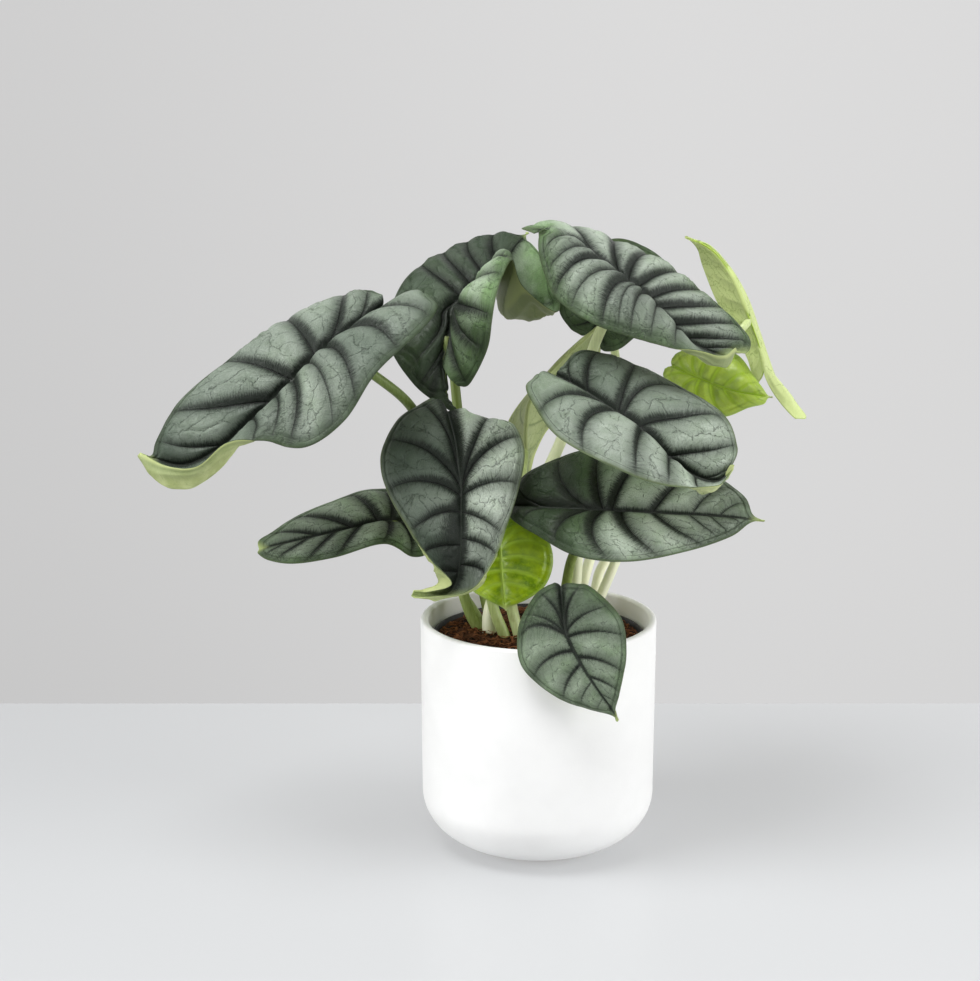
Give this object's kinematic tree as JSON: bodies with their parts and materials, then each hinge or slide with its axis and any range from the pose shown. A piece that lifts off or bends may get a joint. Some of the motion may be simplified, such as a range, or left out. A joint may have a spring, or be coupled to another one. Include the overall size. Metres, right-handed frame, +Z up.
{
  "type": "potted silver dragon alocasia",
  "caption": "Potted aroid with stiff shield-shaped silver-grey leaves on slender stalks, in a plain round-bottomed white ceramic cover pot with a plastic nursery pot inside.",
  "frame": {"origin": "centre of the cover pot's flat foot, on the surface it stands on", "axes": "+X to the plant's right as seen from its front, +Y towards its back, +Z up"},
  "size_m": [0.3534, 0.1674, 0.3416],
  "materials": {
    "pot_ceramic": "matt glaze, very light grain",
    "nursery_plastic": "moulded, satin",
    "potting_mix": "loose brown coir and peat",
    "silver_blade": "stiff leaf, silver-grey panels between dark green veins, pale green under face",
    "young_blade": "young leaf, satin yellow-green",
    "leaf_stalk": "smooth, satin lime to olive green"
  },
  "bodies": {
    "root": {"cover_pot": "pot_ceramic", "nursery_pot": "nursery_plastic", "soil": "potting_mix", "blade_far_left": "silver_blade", "stalk_far_left": "leaf_stalk", "blade_top_left": "silver_blade", "stalk_top_left": "leaf_stalk", "blade_centre": "silver_blade", "stalk_centre": "leaf_stalk", "blade_top_right": "silver_blade", "stalk_top_right": "leaf_stalk", "blade_middle_right": "silver_blade", "stalk_middle_right": "leaf_stalk", "blade_lower_right": "silver_blade", "stalk_lower_right": "leaf_stalk", "blade_front_small": "silver_blade", "stalk_front_small": "leaf_stalk", "blade_low_left": "silver_blade", "stalk_low_left": "leaf_stalk", "blade_young_low": "young_blade", "stalk_young_low": "leaf_stalk", "blade_young_right": "young_blade", "stalk_young_right": "leaf_stalk", "blade_far_right": "silver_blade", "stalk_far_right": "leaf_stalk", "blade_back_dark": "silver_blade", "stalk_back_dark": "leaf_stalk", "blade_back_rolled": "silver_blade", "stalk_back_rolled": "leaf_stalk"}
  },
  "joints": []
}
